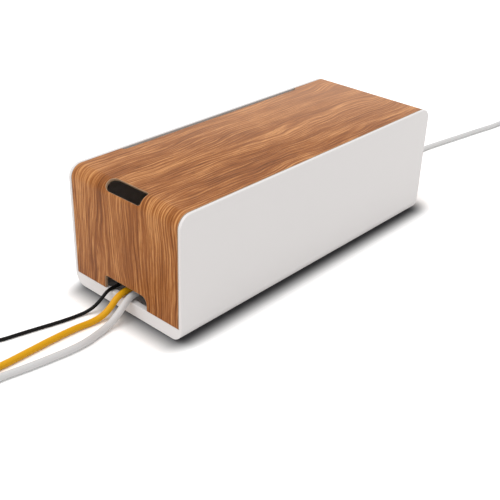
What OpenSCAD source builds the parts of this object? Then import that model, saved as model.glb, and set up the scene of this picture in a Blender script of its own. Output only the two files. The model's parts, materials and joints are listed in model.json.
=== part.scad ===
/* [Box] */
// Length of the box, end to end
box_l = 390; // [372:1:480]
// Width over the two side walls
box_w = 152; // [140:1:220]
// Height from the standing surface to the top
box_h = 130; // [112:1:200]
// Thickness of the side walls
wall_t = 3.5; // [2.5:0.5:5]
// Thickness of the tray's floor
floor_t = 3; // [2.5:0.5:5]
// Radius of the tray's long bottom edges
edge_r = 14; // [8:1:20]
// Radius of the short bottom edges
end_edge_r = 1.5; // [0.5:0.5:3]
// Radius of the walls' upper corners, which the lid's bends follow
corner_r = 13; // [9:1:20]
// Height of the top of the end lips
lip_top = 15; // [12:0.5:18]
// Thickness of the end lips
lip_t = 6.2; // [5:0.1:9]

/* [Lid] */
// Thickness of the lid's shell
lid_t = 3; // [2:0.5:4]
// Gap between the lid and each side wall
lid_gap = 0.4; // [0.3:0.1:1]
// Gap between the lid's end panels and the lips
seat_gap = 0.3; // [0.3:0.1:0.8]
// Length of the slot across the front bend
slot_w = 48; // [20:0.5:60]
// Sideways place of the slot's middle
slot_y = 1; // [-3:0.5:3]
// Height of the slot, measured straight across
slot_h = 14.8; // [8:0.1:15]
// Slope of the slot's axis above the horizontal
slot_angle = 56.5; // [45:0.5:60]
// Width of the cable notch in each end panel
notch_w = 59; // [40:0.5:64]
// Height of the cable notch above the lip
notch_h = 14.5; // [12:0.5:30]
// Sideways place of the notch's middle
notch_y = 0; // [-1:0.05:1]
// Length of the finger recess in the lid's edge
recess_l = 266; // [100:1:300]
// Depth of the finger recess
recess_d = 4.2; // [2:0.1:8]
// Radius of the finger recess's ends
recess_r = 4; // [1:0.5:12]
// Distance of the stiffening ribs from the lid's edges
rib_inset = 12; // [10:0.5:20]
// Height of the stiffening ribs
rib_h = 8; // [4:1:15]
// Thickness of the stiffening ribs
rib_t = 2; // [1.5:0.5:3]
// Width of the tabs that locate the lid behind the lips
tab_w = 20; // [12:1:24]
// Thickness of the locating tabs
tab_t = 2.4; // [1.6:0.2:4]
// Depth that the tabs reach below the lips' top
tab_reach = 7; // [4:0.5:8]

/* [Feet] */
// Diameter of the rubber feet
foot_d = 14; // [10:1:18]
// Thickness of the rubber feet
foot_t = 2; // [1.5:0.1:2.5]
// Height that the feet stand below the tray
foot_proud = 0.8; // [0.5:0.1:1.2]
// Distance of the feet's centres from the box's ends
foot_inset = 30; // [20:1:60]

/* [Power strip] */
// Distance from the box's front end to the strip
strip_room = 65; // [62:1:66]
// Width of the strip
strip_w = 54; // [50:1:60]
// Height of the strip's body
strip_h = 42; // [42:1:50]
// Height of the strip's base, up to the parting line
base_h = 15.7; // [14.5:0.1:16.5]
// Wall thickness of the strip's shells
shell_t = 2.2; // [1.8:0.1:3]
// Thickness of the strip's floor and top
plate_t = 2.5; // [2:0.1:3]
// Radius of the strip's upright edges
strip_r = 5; // [4:0.5:5.5]
// Radius of the strip's upper edges
strip_top_r = 3; // [1:0.5:4]
// Distance from one socket to the next
socket_pitch = 48; // [47.5:0.1:48.3]
// Length of the strip's end that holds the charging port
usb_bay = 36; // [35:0.5:38]
// Length of the strip's end that holds the switch
switch_bay = 42; // [41:0.5:46]
// Diameter of the screws
screw_d = 3; // [2.5:0.1:3.2]

/* [Sockets and plugs] */
// Diameter of a socket's well
well_d = 39; // [38.6:0.1:39.6]
// Depth of a socket's well
well_depth = 17.5; // [16:0.1:18]
// Wall thickness of a socket's insert
insert_t = 1.7; // [1.2:0.1:1.9]
// Diameter of a plug's body
plug_d = 38; // [36:0.1:38.2]
// Height of an angled plug
plug_h = 36.5; // [34:0.5:40]
// Height of the cord's axis above the plug's face
plug_axis_h = 28; // [26:0.5:29]
// Diameter of the plug's pins
pin_d = 4.8; // [4:0.1:4.8]
// Length of the plug's pins
pin_l = 19; // [17:0.5:19.5]
// Distance between the centres of the two pins
pin_pitch = 19; // [18.5:0.5:20]
// Length of a plug's strain relief
relief_l = 28; // [20:1:30]

/* [Cords] */
// Diameter of the white cord
white_d = 7; // [5.5:0.5:8]
// Diameter of the yellow cord
yellow_d = 6.5; // [5.5:0.5:7.5]
// Diameter of the black cord
black_d = 3.5; // [3:0.1:4]
// Diameter of the mains lead
mains_d = 6.5; // [5.5:0.5:8]

/* [Hidden] */
$fn = 64;

// Overshoot of every cut past the face that it opens
cut = 1;
// Depth that one form reaches into the next where the two are one solid
embed = 0.5;
// Gap between two shells, or between a part and the hole that it is pushed through
fit_gap = 0.3;
// Radial clearance of a pin or screw in its hole
pin_gap = 0.05;

// Box: the front end faces -X, the finger recess is along the +Y edge
front_x = -box_l / 2;
rear_x = box_l / 2;
under_z = foot_proud;
floor_z = under_z + floor_t;
inner_w = box_w - 2 * wall_t;
inner_edge_r = min(edge_r - wall_t, lip_top - floor_z);
lid_w = inner_w - 2 * lid_gap;
lid_bottom = lip_top + seat_gap;
bend_z = box_h - corner_r;
notch_r_left = 3;
notch_r_right = 7;
slot_r_right = 2.5;
tab_y = inner_w / 2 - tab_w - 2.5;
tab_bridge_h = 8;
foot_x = box_l / 2 - foot_inset;
foot_y = box_w / 2 - edge_r - foot_d / 2 - 3;

// Power strip: it lies on the tray's floor, its sockets in a row along X
SOCKETS = [0, 1, 2, 3];
strip_x0 = front_x + strip_room;
strip_x1 = strip_x0 + usb_bay + len(SOCKETS) * socket_pitch + switch_bay;
split_z = floor_z + base_h;
cover_top_z = floor_z + strip_h;
base_floor_z = floor_z + plate_t;
function socket_x(i) = strip_x0 + usb_bay + socket_pitch * (i + 0.5);
function bay_x(i) = strip_x0 + usb_bay + socket_pitch * i;
bay_lines = [for (i = [0:len(SOCKETS)]) bay_x(i)];

// Sockets
flange_t = 1.2;
well_r = well_d / 2;
insert_r = well_r + insert_t;
flange_r = socket_pitch / 2 - 0.75;
flange_z = cover_top_z + flange_t;
well_floor_z = flange_z - well_depth;
well_floor_t = 2.5;
pin_hole_r = pin_d / 2 + fit_gap;
clip_w = 6;
clip_t = 1;
clip_r = well_r + 0.3;
clip_rise = 10.5;
clip_top_z = well_floor_z + clip_rise;

// Bus bars: two rows of contact tubes on flat bars, and an earth bar with spring clips
bar_t = 1;
bar_w = 6;
bar_end = 3;
pin_tip_z = well_floor_z - pin_l;
bar_top_z = pin_tip_z - 1;
tube_top_z = well_floor_z - well_floor_t - 1;
tube_r = pin_d / 2 + 0.1;
tube_wall = 1;
earth_z = well_floor_z - well_floor_t - 2.8;
earth_w = 8;
post_r = 2;

// Screws, up through the base into the cover's bosses
boss_r = 3.5;
boss_y = strip_w / 2 - shell_t - boss_r - 1.5;
boss_x = [bay_x(0), bay_x(len(SOCKETS))];
screw_head_r = screw_d / 2 + 1.3;
screw_head_t = 2.2;
screw_seat_z = floor_z + screw_head_t + 0.4;
screw_bite = 9;
screw_tip_z = split_z + screw_bite;

// Switch
switch_x = strip_x1 - switch_bay / 2;
switch_l = 28;
switch_w = 23;
switch_flange_t = 1.5;
switch_flange = 2;
switch_wall = 2.2;
rocker_r = 11.5;
rocker_w = switch_w - 2 * switch_wall - 2 * fit_gap;
rocker_z = cover_top_z - 3.3;
rocker_tilt = 9;
rocker_valley = 3.2;
rocker_slope = 12;
rocker_below = 4;
switch_well = 6.5;
switch_block = 8;
switch_floor_z = rocker_z - switch_well;
switch_base_z = switch_floor_z - switch_block;
rocker_pin_r = 1.5;

// Charging port in the strip's front end
usb_w = 13.6;
usb_h = 7.2;
usb_y = strip_w / 2 - strip_r - usb_w / 2 - 1.2;
usb_l = 14;
usb_mouth_w = 12.4;
usb_mouth_h = 4.9;
board_t = 1.6;
board_end_gap = 5.5;
board_l = usb_bay - shell_t - board_end_gap;
board_w = 17;
board_x = strip_x0 + shell_t + fit_gap;
usb_z = split_z + 4.5;
board_top_z = usb_z - usb_h / 2;
converter_w = 12;
converter_h = 9;
usb_plug_w = 15.5;
usb_plug_h = 8;
usb_plug_l = 26;
usb_relief_l = 10;
usb_plug_x = strip_x0 - 0.8;
usb_relief_x = usb_plug_x - usb_plug_l - usb_relief_l;

// Cord grip in the strip's rear end
grip_r = 5.5;
grip_collar_r = 7.5;
grip_l = 28;

// Plugs on the strip
white_plug_x = socket_x(0);
yellow_plug_x = socket_x(2);
plug_axis_z = well_floor_z + plug_axis_h;
relief_reach = plug_d / 2 + relief_l;
pin_hole_depth = 7;
plug_groove_w = 5.4;
plug_groove_depth = 2.2;

// Routes of the cords. X is measured from the box's front end, or from its rear end for the mains lead.
WHITE_ROUTE = [[68, -0.6, 56.2], [58.5, -1.5, 52.5], [50.5, -2.4, 46.5], [44, -3, 38.5], [37.5, -3.5, 30.5],
    [29.5, -3.8, 24.7], [20, -3.9, 21], [10, -4.1, 19.6], [2, -5.2, 19.3], [-5, -7, 18], [-11.5, -8.4, 14.8],
    [-18.5, -9.3, 10.4], [-27, -10.2, 6.3], [-36, -11.3, 4.1], [-46, -12.8, white_d / 2],
    [-60, -15, white_d / 2], [-75, -15.1, white_d / 2], [-95, -12.8, white_d / 2], [-119, -9, white_d / 2],
    [-143, -4.3, white_d / 2], [-172, -0.9, white_d / 2], [-208, 0.2, white_d / 2], [-244, 0.1, white_d / 2]];
YELLOW_ROUTE = [[163, 1.5, 57], [154.5, 6, 56], [147.5, 13, 54.5], [140.5, 20, 52.5], [131.5, 24.5, 50.8],
    [121.5, 26, 50], [95, 22, 49.7], [69, 12.5, 49.5], [58, 9, 48.8], [48, 6.8, 45], [39, 5.5, 38],
    [31, 5, 29], [22, 5, 23.3], [13, 5.3, 20.3], [4, 5.8, 19.3], [-3.5, 4.8, 18.7], [-9.5, 4.3, 16],
    [-15, 4.2, 11.6], [-21, 4.7, 7.4], [-28, 5.7, 4.4], [-36, 6.6, 3.3], [-52, 8.7, yellow_d / 2],
    [-78, 9.7, yellow_d / 2], [-104, 9.4, yellow_d / 2], [-132, 9.2, yellow_d / 2],
    [-160, 11.5, yellow_d / 2], [-202, 17.6, yellow_d / 2]];
BLACK_ROUTE = [[21, 16.3, 22.5], [14, 18.8, 20], [7.5, 21, 17.9], [1, 22, 17], [-5, 21.2, 16.4],
    [-10.5, 20.5, 13.9], [-15.5, 20.5, 10.6], [-21.5, 21.6, 6.6], [-28.5, 23.8, 3.3], [-36, 26, 1.85],
    [-48, 28, black_d / 2], [-60, 30.7, black_d / 2], [-76, 35, black_d / 2], [-94, 39.6, black_d / 2],
    [-109, 43.4, black_d / 2], [-123, 49.5, black_d / 2], [-135.5, 59, black_d / 2], [-144.5, 71, black_d / 2],
    [-149, 82, black_d / 2]];
MAINS_ROUTE = [[0, 0, 19.5], [12, 0, 17.3], [23, 1, 11.6], [34, 3, 6], [46, 5, 3.4], [75, 11, mains_d / 2],
    [105, 15, mains_d / 2], [137, 17, mains_d / 2], [169, 17, mains_d / 2], [205, 12, mains_d / 2],
    [242, 6, mains_d / 2], [280, 0, mains_d / 2], [330, -8, mains_d / 2], [352, -8.6, mains_d / 2],
    [370, -5.6, mains_d / 2], [384, -3.4, mains_d / 2]];
// Middle of each coil and the radius at which its cord joins it
WHITE_COIL = [-255, -49];
white_coil_r = 49;
YELLOW_COIL = [-210, 64];
yellow_coil_r = 46;
BLACK_COIL = [-125, 86];
black_coil_r = 24.2;
MAINS_COIL = [390, -49];
mains_coil_r = 46;
// Each coil is two turns high and this many turns wide
coil_turns = 2;
black_coil_turns = 3;
turn_gap = 0.1;
// The free end of a coil leaves it by this many cord diameters outside the joining radius
tail_step = 0.6;
white_tail_x = front_x + WHITE_COIL[0] - white_coil_r - tail_step * white_d;
yellow_tail_x = front_x + YELLOW_COIL[0] - yellow_coil_r - tail_step * yellow_d;
black_tail_y = BLACK_COIL[1] + black_coil_r + tail_step * black_d;
mains_tail_x = rear_x + MAINS_COIL[0] + mains_coil_r + tail_step * mains_d;

// Connectors on the cords' far ends: strain relief, then a body of width w, height h and length l
contact_depth = 12;
white_relief_l = 26;
white_connector_w = 28;
white_connector_h = 21;
white_connector_l = 34;
white_slot_pitch = 7;
white_slot_step = 2.5;
white_slot_w = 2.4;
white_slot_h = 6;
yellow_relief_l = 24;
yellow_connector_w = 12;
yellow_connector_h = 20;
yellow_connector_l = 28;
yellow_contact_z = 4.3;
yellow_contact_r = 1.7;
black_relief_l = 12;
black_connector_w = 7;
black_connector_h = 11;
black_connector_l = 20;
black_tip_w = 2.6;
black_tip_h = 8.4;
black_tip_l = 6.5;
black_tip_inside = 3;

WHITE_PLASTIC = [0.93, 0.92, 0.91];
WOOD = [0.67, 0.46, 0.31];
DARK_PLASTIC = [0.16, 0.16, 0.17];
RUBBER = [0.22, 0.22, 0.22];
METAL = [0.78, 0.78, 0.8];
BRASS = [0.8, 0.65, 0.35];
YELLOW = [0.9, 0.62, 0.12];
BLACK = [0.08, 0.08, 0.08];
RED = [0.7, 0.12, 0.08];
GREEN = [0.1, 0.35, 0.2];

// ---- Helpers ----

// Extrudes a YZ outline from x0 to x1
module along_x(x0, x1) {
    translate([x0, 0, 0]) rotate([90, 0, 90]) linear_extrude(x1 - x0) children();
}

// Extrudes an XZ outline from y0 to y1
module along_y(y0, y1) {
    translate([0, y1, 0]) rotate([90, 0, 0]) linear_extrude(y1 - y0) children();
}

// Rectangle from [x0, y0] to [x1, y1] with a radius for each corner, anticlockwise from [x0, y0]
module soft_rect(x0, y0, x1, y1, r) {
    polygon([[x0 + r[0], y0], [x1 - r[1], y0], [x1, y0 + r[1]], [x1, y1 - r[2]],
        [x1 - r[2], y1], [x0 + r[3], y1], [x0, y1 - r[3]], [x0, y0 + r[0]]]);
    translate([x0 + r[0], y0 + r[0]]) circle(r[0]);
    translate([x1 - r[1], y0 + r[1]]) circle(r[1]);
    translate([x1 - r[2], y1 - r[2]]) circle(r[2]);
    translate([x0 + r[3], y1 - r[3]]) circle(r[3]);
}

// Box from [x0, y0, z0] to [x1, y1, z1]
module block(x0, y0, z0, x1, y1, z1) {
    translate([x0, y0, z0]) cube([x1 - x0, y1 - y0, z1 - z0]);
}

// Repeats the child at the front and, mirrored, at the rear
module both_ends() {
    children();
    mirror([1, 0, 0]) children();
}

// Repeats the child on the right and, mirrored, on the left
module both_sides() {
    children();
    mirror([0, 1, 0]) children();
}

// Direction of a route at point i, from its neighbours
function heading(p, i) = let (d = p[min(i + 1, len(p) - 1)] - p[max(i - 1, 0)]) d / norm(d);

// Ring of n points round point i of a route
function ring(p, i, r, n) = let (
    ahead = heading(p, i),
    side = cross(ahead, [0, 0, 1]) / norm(cross(ahead, [0, 0, 1])),
    up = cross(side, ahead)
) [for (k = [0:n - 1]) p[i] + r * (cos(360 * k / n) * side + sin(360 * k / n) * up)];

// Round tube along a route
module tube(p, d, n) {
    last = len(p) - 1;
    polyhedron(
        points = [for (i = [0:last]) each ring(p, i, d / 2, n)],
        faces = concat(
            [[for (k = [0:n - 1]) k]],
            [for (i = [0:last - 1], k = [0:n - 1])
                [i * n + k, (i + 1) * n + k, (i + 1) * n + (k + 1) % n]],
            [for (i = [0:last - 1], k = [0:n - 1])
                [i * n + k, (i + 1) * n + (k + 1) % n, i * n + (k + 1) % n]],
            [[for (k = [n - 1:-1:0]) last * n + k]]
        )
    );
}

// Outer form of a coil of cord: a ring of square section with rounded edges
module coil(d, r, turns) {
    inner = r - turns * (d + turn_gap) - d / 2;
    round_r = [d / 2, d / 2, d / 2, d / 2];
    rotate_extrude($fn = 96) soft_rect(inner, 0, r + d / 2, 2 * d, round_r);
}

// Tapered strain relief along +X from the cord's end
module relief(l, cord_d, r) {
    rotate([0, 90, 0]) cylinder(h = l, r1 = cord_d / 2 + 0.4, r2 = r);
}

// ---- Box ----

module tray_inside() {
    soft_rect(-inner_w / 2, floor_z, inner_w / 2, box_h + 2 * cut, [inner_edge_r, inner_edge_r, cut, cut]);
}

module tray() color(WHITE_PLASTIC) difference() {
    intersection() {
        along_x(front_x, rear_x)
            soft_rect(-box_w / 2, under_z, box_w / 2, box_h, [edge_r, edge_r, cut, cut]);
        along_y(-box_w / 2 - cut, box_w / 2 + cut)
            soft_rect(front_x, under_z, rear_x, box_h, [end_edge_r, end_edge_r, corner_r, corner_r]);
    }
    along_x(front_x + lip_t, rear_x - lip_t) tray_inside();
    along_x(front_x - cut, rear_x + cut) intersection() {
        tray_inside();
        translate([-box_w / 2, lip_top]) square([box_w, box_h]);
    }
    for (x = [-foot_x, foot_x], y = [-foot_y, foot_y])
        translate([x, y, under_z - cut]) cylinder(h = foot_t - foot_proud + cut, r = foot_d / 2 + 0.2);
}

module foot(x, y) color(RUBBER) translate([x, y, 0]) cylinder(h = foot_t, r = foot_d / 2);

module foot_front_left() foot(-foot_x, foot_y);
module foot_front_right() foot(-foot_x, -foot_y);
module foot_rear_left() foot(foot_x, foot_y);
module foot_rear_right() foot(foot_x, -foot_y);

// Bent shell: a top and two end panels, open underneath
module lid_shell() {
    inner_r = corner_r - lid_t;
    along_y(-lid_w / 2, lid_w / 2) difference() {
        soft_rect(front_x, lid_bottom, rear_x, box_h, [0.2, 0.2, corner_r, corner_r]);
        soft_rect(front_x + lid_t, lid_bottom - box_h, rear_x - lid_t, box_h - lid_t,
            [cut, cut, inner_r, inner_r]);
    }
}

// Slot through the front bend, drawn in the plane square to its axis
module slot_cut() {
    half = slot_h / 2;
    r_left = 0.85 * half;
    translate([front_x + corner_r, 0, bend_z]) rotate([0, slot_angle - 90, 0]) rotate([0, 0, 90])
        translate([0, 0, corner_r / 3]) linear_extrude(corner_r)
            soft_rect(slot_y - slot_w / 2, -half, slot_y + slot_w / 2, half,
                [slot_r_right, r_left, r_left, slot_r_right]);
}

module notch_cut() {
    along_x(front_x - cut, front_x + lid_t + cut)
        soft_rect(notch_y - notch_w / 2, lid_bottom - 2 * cut, notch_y + notch_w / 2, lip_top + notch_h,
            [cut, cut, notch_r_left, notch_r_right]);
}

module recess_cut() {
    translate([0, 0, box_h - lid_t - cut]) linear_extrude(lid_t + 2 * cut)
        soft_rect(-recess_l / 2, lid_w / 2 - recess_d, recess_l / 2, lid_w / 2 + recess_r,
            [recess_r, recess_r, cut, cut]);
}

// Tab behind the lip, joined to the end panel by a bridge above the lip
module locating_tab() {
    x = front_x + lip_t + fit_gap + 0.1;
    bridge_z = lid_bottom + 2.7;
    block(x, tab_y, lip_top - tab_reach, x + tab_t, tab_y + tab_w, bridge_z + tab_bridge_h);
    block(front_x + lid_t - embed, tab_y, bridge_z, x + embed, tab_y + tab_w, bridge_z + tab_bridge_h);
}

module lid() color(WOOD) {
    difference() {
        lid_shell();
        slot_cut();
        both_ends() notch_cut();
        recess_cut();
    }
    both_sides() block(front_x + corner_r, lid_w / 2 - rib_inset, box_h - lid_t - rib_h,
        rear_x - corner_r, lid_w / 2 - rib_inset + rib_t, box_h - lid_t + embed);
    both_ends() both_sides() locating_tab();
}

// ---- Power strip ----

// Outline of the strip seen from above, made smaller by a margin
module strip_outline(margin) {
    r = max(strip_r - margin, 1);
    soft_rect(strip_x0 + margin, margin - strip_w / 2, strip_x1 - margin, strip_w / 2 - margin, [r, r, r, r]);
}

module grip_hole() {
    translate([strip_x1 - shell_t - cut, 0, split_z]) rotate([0, 90, 0])
        cylinder(h = shell_t + 2 * cut, r = grip_r + fit_gap / 2);
}

module strip_base() color(DARK_PLASTIC) difference() {
    union() {
        difference() {
            translate([0, 0, floor_z]) linear_extrude(base_h) strip_outline(0);
            translate([0, 0, base_floor_z]) linear_extrude(base_h) strip_outline(shell_t);
        }
        // Posts for the screws and the earth bar, and ribs under the bus bars
        for (x = boss_x) both_sides()
            translate([x, boss_y, base_floor_z - embed])
                cylinder(h = split_z - base_floor_z + embed, r = boss_r);
        for (x = bay_lines) {
            translate([x, 0, base_floor_z - embed]) cylinder(h = earth_z - base_floor_z + embed, r = post_r);
            block(x - 1, -pin_pitch / 2 - bar_w / 2, base_floor_z - embed,
                x + 1, pin_pitch / 2 + bar_w / 2, bar_top_z - bar_t);
        }
        // Posts under the charging board
        for (x = [board_x + 4, board_x + board_l - 4])
            translate([x, usb_y, base_floor_z - embed])
                cylinder(h = board_top_z - board_t - base_floor_z + embed, r = post_r);
    }
    for (x = boss_x) both_sides() {
        translate([x, boss_y, floor_z - cut]) cylinder(h = base_h + 2 * cut, r = screw_d / 2 + 0.2);
        translate([x, boss_y, floor_z - cut])
            cylinder(h = screw_seat_z - floor_z + cut, r = screw_head_r + fit_gap);
    }
    grip_hole();
}

module strip_cover() color(DARK_PLASTIC) difference() {
    union() {
        difference() {
            intersection() {
                translate([0, 0, split_z]) linear_extrude(cover_top_z - split_z) strip_outline(0);
                along_x(strip_x0 - cut, strip_x1 + cut)
                    soft_rect(-strip_w / 2, split_z - cut, strip_w / 2, cover_top_z,
                        [0.2, 0.2, strip_top_r, strip_top_r]);
                along_y(-strip_w / 2 - cut, strip_w / 2 + cut)
                    soft_rect(strip_x0, split_z - cut, strip_x1, cover_top_z,
                        [0.2, 0.2, strip_top_r, strip_top_r]);
            }
            translate([0, 0, split_z - cut]) linear_extrude(cover_top_z - plate_t - split_z + cut)
                strip_outline(shell_t);
        }
        for (x = boss_x) both_sides()
            translate([x, boss_y, split_z]) cylinder(h = cover_top_z - plate_t - split_z + embed, r = boss_r);
    }
    for (i = SOCKETS) translate([socket_x(i), 0, cover_top_z - plate_t - cut])
        cylinder(h = plate_t + 2 * cut, r = insert_r + fit_gap);
    for (x = boss_x) both_sides() translate([x, boss_y, split_z - cut])
        cylinder(h = screw_tip_z - split_z + 2 * cut, r = screw_d / 2 + pin_gap);
    block(switch_x - switch_l / 2 - fit_gap, -switch_w / 2 - fit_gap, cover_top_z - plate_t - cut,
        switch_x + switch_l / 2 + fit_gap, switch_w / 2 + fit_gap, cover_top_z + cut);
    block(strip_x0 - cut, usb_y - usb_w / 2 - fit_gap, usb_z - usb_h / 2 - fit_gap,
        strip_x0 + shell_t + cut, usb_y + usb_w / 2 + fit_gap, usb_z + usb_h / 2 + fit_gap);
    grip_hole();
}

// Four screws with cross slots in their heads, each a separate solid
module strip_screws() color(METAL) for (x = boss_x) both_sides() translate([x, boss_y, 0]) {
    translate([0, 0, screw_seat_z - screw_head_t]) difference() {
        cylinder(h = screw_head_t, r = screw_head_r);
        for (a = [0, 90]) rotate([0, 0, a]) translate([-1.6, -0.35, -cut]) cube([3.2, 0.7, cut + 1.2]);
    }
    translate([0, 0, screw_seat_z - 0.2]) cylinder(h = screw_tip_z - screw_seat_z + 0.2, r = screw_d / 2);
}

// Round socket well with a flange, two pin holes and a slot each side for the earth clips
module socket_insert(i) color(DARK_PLASTIC) translate([socket_x(i), 0, 0]) difference() {
    union() {
        translate([0, 0, well_floor_z - well_floor_t])
            cylinder(h = flange_z - well_floor_z + well_floor_t - 0.2, r = insert_r);
        translate([0, 0, cover_top_z]) cylinder(h = flange_t, r = flange_r);
    }
    translate([0, 0, well_floor_z]) cylinder(h = well_depth + cut, r = well_r);
    for (y = [-pin_pitch / 2, pin_pitch / 2])
        translate([0, y, well_floor_z - well_floor_t - cut])
            cylinder(h = well_floor_t + 2 * cut, r = pin_hole_r);
    both_ends() block(clip_r - fit_gap, -clip_w / 2 - fit_gap, well_floor_z - well_floor_t - cut,
        insert_r + cut, clip_w / 2 + fit_gap, clip_top_z + fit_gap);
}

module socket_insert_1() socket_insert(0);
module socket_insert_2() socket_insert(1);
module socket_insert_3() socket_insert(2);
module socket_insert_4() socket_insert(3);

// Flat bar with a contact tube under each pin hole
module bus_bar(y) color(BRASS) translate([0, y, 0]) difference() {
    union() {
        block(bay_x(0) - bar_end, -bar_w / 2, bar_top_z - bar_t,
            bay_x(len(SOCKETS)) + bar_end, bar_w / 2, bar_top_z);
        for (i = SOCKETS) translate([socket_x(i), 0, bar_top_z - bar_t])
            cylinder(h = tube_top_z - bar_top_z + bar_t, r = tube_r + tube_wall);
    }
    for (i = SOCKETS) translate([socket_x(i), 0, bar_top_z]) cylinder(h = tube_top_z, r = tube_r);
}

module live_bus_bar() bus_bar(-pin_pitch / 2);
module neutral_bus_bar() bus_bar(pin_pitch / 2);

// Earth bar on its posts, with two clips that stand up in the slots of each well
module earth_bus_bar() color(BRASS) {
    block(bay_x(0) - bar_end, -earth_w / 2, earth_z,
        bay_x(len(SOCKETS)) + bar_end, earth_w / 2, earth_z + bar_t);
    for (i = SOCKETS) translate([socket_x(i), 0, 0]) both_ends()
        block(clip_r, -clip_w / 2, earth_z, clip_r + clip_t, clip_w / 2, clip_top_z);
}

// ---- Switch ----

module switch_housing() color(DARK_PLASTIC) difference() {
    flange_x = switch_l / 2 + switch_flange;
    flange_y = switch_w / 2 + switch_flange;
    union() {
        block(switch_x - switch_l / 2, -switch_w / 2, switch_base_z,
            switch_x + switch_l / 2, switch_w / 2, cover_top_z + embed);
        block(switch_x - flange_x, -flange_y, cover_top_z,
            switch_x + flange_x, flange_y, cover_top_z + switch_flange_t);
    }
    block(switch_x - rocker_r - fit_gap, switch_wall - switch_w / 2, switch_floor_z,
        switch_x + rocker_r + fit_gap, switch_w / 2 - switch_wall, cover_top_z + switch_flange_t + cut);
    translate([switch_x, 0, rocker_z]) rotate([90, 0, 0])
        cylinder(h = switch_w + 2 * cut, r = rocker_pin_r + pin_gap, center = true);
}

// Rocker: a slice of a round bar with a shallow valley on top, on two stub pins, tilted to its off position
module switch_rocker() {
    rise = rocker_r * tan(rocker_slope);
    color(RED) translate([switch_x, 0, rocker_z]) rotate([0, -rocker_tilt, 0]) {
        intersection() {
            rotate([90, 0, 0]) cylinder(h = rocker_w, r = rocker_r, center = true);
            along_y(-rocker_w, rocker_w) polygon([[-rocker_r, -rocker_below], [rocker_r, -rocker_below],
                [rocker_r, rocker_valley + rise], [0, rocker_valley], [-rocker_r, rocker_valley + rise]]);
        }
        rotate([90, 0, 0]) cylinder(h = switch_w - switch_wall, r = rocker_pin_r, center = true);
    }
}

// ---- Charging port ----

module usb_socket() color(METAL) difference() {
    block(strip_x0, usb_y - usb_w / 2, board_top_z, strip_x0 + usb_l, usb_y + usb_w / 2, usb_z + usb_h / 2);
    block(strip_x0 - cut, usb_y - usb_mouth_w / 2, usb_z - usb_mouth_h / 2,
        strip_x0 + usb_l - 1, usb_y + usb_mouth_w / 2, usb_z + usb_mouth_h / 2);
}

module usb_board() color(GREEN) {
    block(board_x, usb_y - board_w / 2, board_top_z - board_t,
        board_x + board_l, usb_y + board_w / 2, board_top_z);
    block(strip_x0 + usb_l + 2, usb_y - converter_w / 2, board_top_z - embed,
        board_x + board_l - 2, usb_y + converter_w / 2, board_top_z + converter_h);
}

// ---- Cord grip ----

module strip_cord_grip() color(BLACK) translate([strip_x1, 0, split_z]) rotate([0, 90, 0]) {
    translate([0, 0, -shell_t - fit_gap / 2 - 2.5]) cylinder(h = 2.5, r = grip_collar_r);
    translate([0, 0, -shell_t - 1]) cylinder(h = shell_t + 1.5, r = grip_r);
    translate([0, 0, fit_gap / 2]) cylinder(h = 2, r = grip_collar_r);
    translate([0, 0, 2]) cylinder(h = grip_l - 2, r1 = grip_r + 1, r2 = mains_d / 2 + 0.4);
}

// ---- Plugs ----

// Angled two-pin plug, face down at z = 0, with its cord leaving along -X
module angled_plug(cord_d) {
    top_r = 4;
    relief_r = 7.5;
    groove_y = plug_d / 2 - plug_groove_depth;
    difference() {
        union() {
            rotate_extrude() intersection() {
                soft_rect(-plug_d / 2, 0, plug_d / 2, plug_h, [0.5, 0.5, top_r, top_r]);
                square([plug_d, plug_h]);
            }
            translate([-relief_reach, 0, plug_axis_h]) relief(relief_l + 3, cord_d, relief_r);
        }
        for (y = [-pin_pitch / 2, pin_pitch / 2])
            translate([0, y, -cut]) cylinder(h = pin_hole_depth + cut, r = pin_d / 2 + pin_gap);
        both_sides()
            block(-plug_groove_w / 2, groove_y, -cut, plug_groove_w / 2, plug_d / 2 + cut, well_depth + 1);
    }
}

// The two pins of an angled plug, with round tips
module plug_pins() for (y = [-pin_pitch / 2, pin_pitch / 2]) translate([0, y, 0]) {
    translate([0, 0, pin_d / 2 - pin_l]) {
        cylinder(h = pin_l - pin_d / 2 + pin_hole_depth - embed, r = pin_d / 2);
        sphere(pin_d / 2);
    }
}

module white_plug() color(WHITE_PLASTIC) translate([white_plug_x, 0, well_floor_z]) angled_plug(white_d);
module white_plug_pins() color(METAL) translate([white_plug_x, 0, well_floor_z]) plug_pins();
module yellow_plug() color(YELLOW) translate([yellow_plug_x, 0, well_floor_z]) angled_plug(yellow_d);
module yellow_plug_pins() color(METAL) translate([yellow_plug_x, 0, well_floor_z]) plug_pins();

// ---- Cords, their coils and what is on their far ends ----

// Cord of n sides from its exit along a route that is measured from the box's end at x
module cord(start, x, route, d, n) {
    tube(concat([start], [for (q = route) [x + q[0], q[1], q[2]]]), d, n);
}

module white_cord() color(WHITE_PLASTIC)
    cord([white_plug_x - relief_reach, 0, plug_axis_z], front_x, WHITE_ROUTE, white_d, 10);
module yellow_cord() color(YELLOW)
    cord([yellow_plug_x - relief_reach, 0, plug_axis_z], front_x, YELLOW_ROUTE, yellow_d, 10);
module black_cord() color(BLACK) cord([usb_relief_x, usb_y, usb_z], front_x, BLACK_ROUTE, black_d, 8);
module mains_lead() color(WHITE_PLASTIC)
    cord([strip_x1 + grip_l, 0, split_z], rear_x, MAINS_ROUTE, mains_d, 10);

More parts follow.
